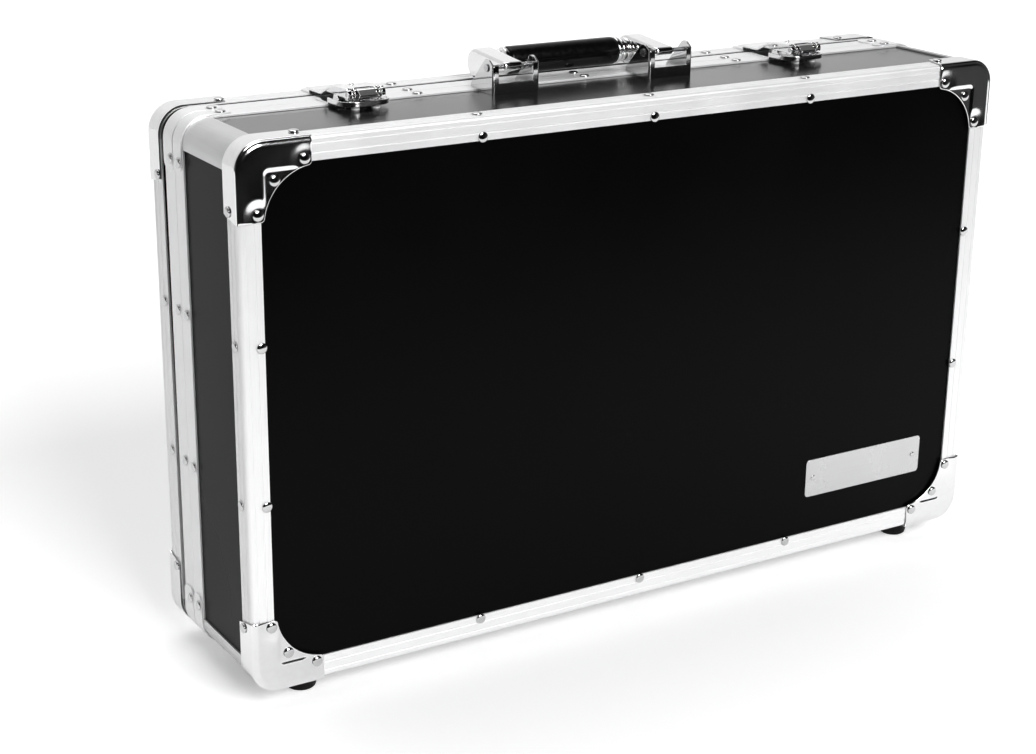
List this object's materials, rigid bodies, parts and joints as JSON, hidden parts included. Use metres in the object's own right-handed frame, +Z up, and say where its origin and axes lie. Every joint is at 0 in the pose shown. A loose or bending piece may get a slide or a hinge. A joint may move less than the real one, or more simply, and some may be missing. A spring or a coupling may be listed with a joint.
{
  "type": "pedal case",
  "caption": "Black laminate pedal case with riveted aluminium edges, corner brackets, folding handle, draw latches and a bottom-hinged lid.",
  "frame": {"origin": "on the floor under the feet, at the middle of the width and of the depth", "axes": "+X along the width, to the right seen from the front board; +Y from the front board to the lid; +Z up"},
  "size_m": [0.6258, 0.1458, 0.4086],
  "materials": {
    "front_laminate": "gloss black laminate on plywood",
    "side_laminate": "satin dark grey laminate on plywood",
    "edge_aluminium": "bright anodised, fine lengthwise lines",
    "closure_aluminium": "bright anodised",
    "corner_aluminium": "satin anodised",
    "bracket_steel": "polished nickel plate",
    "rivet_steel": "polished",
    "seal_rubber": "matte black",
    "foot_rubber": "matte black",
    "foam": "napped charcoal foam lining",
    "plate_silver": "satin silver, blank",
    "hardware_chrome": "polished",
    "pin_steel": "bright",
    "shoulder_chrome": "polished",
    "grip_black": "gloss black",
    "hinge_steel": "zinc plated"
  },
  "bodies": {
    "shell": {"front_panel": "front_laminate", "top_panel": "side_laminate", "right_panel": "side_laminate", "bottom_panel": "side_laminate", "left_panel": "side_laminate", "front_edge_top": "edge_aluminium", "front_edge_right": "edge_aluminium", "front_edge_bottom": "edge_aluminium", "front_edge_left": "edge_aluminium", "closure_top": "closure_aluminium", "closure_right": "closure_aluminium", "closure_bottom": "closure_aluminium", "closure_left": "closure_aluminium", "corner_bands": "closure_aluminium", "corner_profiles": "corner_aluminium", "front_corner_brackets": "bracket_steel", "shell_rivets": "rivet_steel", "name_plate_rivets": "rivet_steel", "handle_bracket_rivets": "rivet_steel", "foot_screws": "rivet_steel", "seal": "seal_rubber", "feet": "foot_rubber", "base_foam": "foam", "name_plate": "plate_silver", "handle_bracket_left": "hardware_chrome", "handle_bracket_right": "hardware_chrome", "latch_base_left": "hardware_chrome", "latch_base_right": "hardware_chrome", "latch_posts": "hardware_chrome", "handle_pins": "pin_steel", "latch_pivot_pins": "pin_steel", "hinge_pins": "pin_steel", "hinge_base_leaves": "hinge_steel"},
    "lid": {"back_panel": "front_laminate", "lid_top_wall": "side_laminate", "lid_right_wall": "side_laminate", "lid_bottom_wall": "side_laminate", "lid_left_wall": "side_laminate", "back_edge_top": "edge_aluminium", "back_edge_right": "edge_aluminium", "back_edge_bottom": "edge_aluminium", "back_edge_left": "edge_aluminium", "lid_corner_posts": "corner_aluminium", "back_corner_brackets": "bracket_steel", "lid_rivets": "rivet_steel", "lid_foam": "foam", "keepers": "hardware_chrome", "hinge_lid_leaves": "hinge_steel"},
    "handle": {"handle_core": "pin_steel", "handle_shoulder_left": "shoulder_chrome", "handle_shoulder_right": "shoulder_chrome", "ferrules": "shoulder_chrome", "grip": "grip_black"},
    "lever_left": {"lever_left": "hardware_chrome"},
    "lever_right": {"lever_right": "hardware_chrome"},
    "claw_left": {"claw_left": "hardware_chrome", "claw_pin_left": "pin_steel"},
    "claw_right": {"claw_right": "hardware_chrome", "claw_pin_right": "pin_steel"}
  },
  "joints": [
    {"name": "lid_hinge", "type": "hinge", "parent": "shell", "child": "lid", "pos_m": [0, 0.04825, 0.0132], "axis": [-1, 0, 0], "range_deg": [0, 110]},
    {"name": "handle_hinge", "type": "hinge", "parent": "shell", "child": "handle", "pos_m": [-0.007, 0.002, 0.4023], "axis": [1, 0, 0], "range_deg": [0, 95]},
    {"name": "lever_left_hinge", "type": "hinge", "parent": "shell", "child": "lever_left", "pos_m": [-0.187, 0.016, 0.3926], "axis": [-1, 0, 0], "range_deg": [0, 85]},
    {"name": "claw_left_hinge", "type": "hinge", "parent": "lever_left", "child": "claw_left", "pos_m": [-0.187, -0.003, 0.3944], "axis": [1, 0, 0], "range_deg": [0, 98]},
    {"name": "lever_right_hinge", "type": "hinge", "parent": "shell", "child": "lever_right", "pos_m": [0.1825, 0.016, 0.3926], "axis": [-1, 0, 0], "range_deg": [0, 85]},
    {"name": "claw_right_hinge", "type": "hinge", "parent": "lever_right", "child": "claw_right", "pos_m": [0.1825, -0.003, 0.3944], "axis": [1, 0, 0], "range_deg": [0, 98]}
  ],
  "couplings": [
    {"joint": "claw_left_hinge", "follows": "lever_left_hinge", "ratio": 1.15},
    {"joint": "claw_right_hinge", "follows": "lever_right_hinge", "ratio": 1.15}
  ]
}
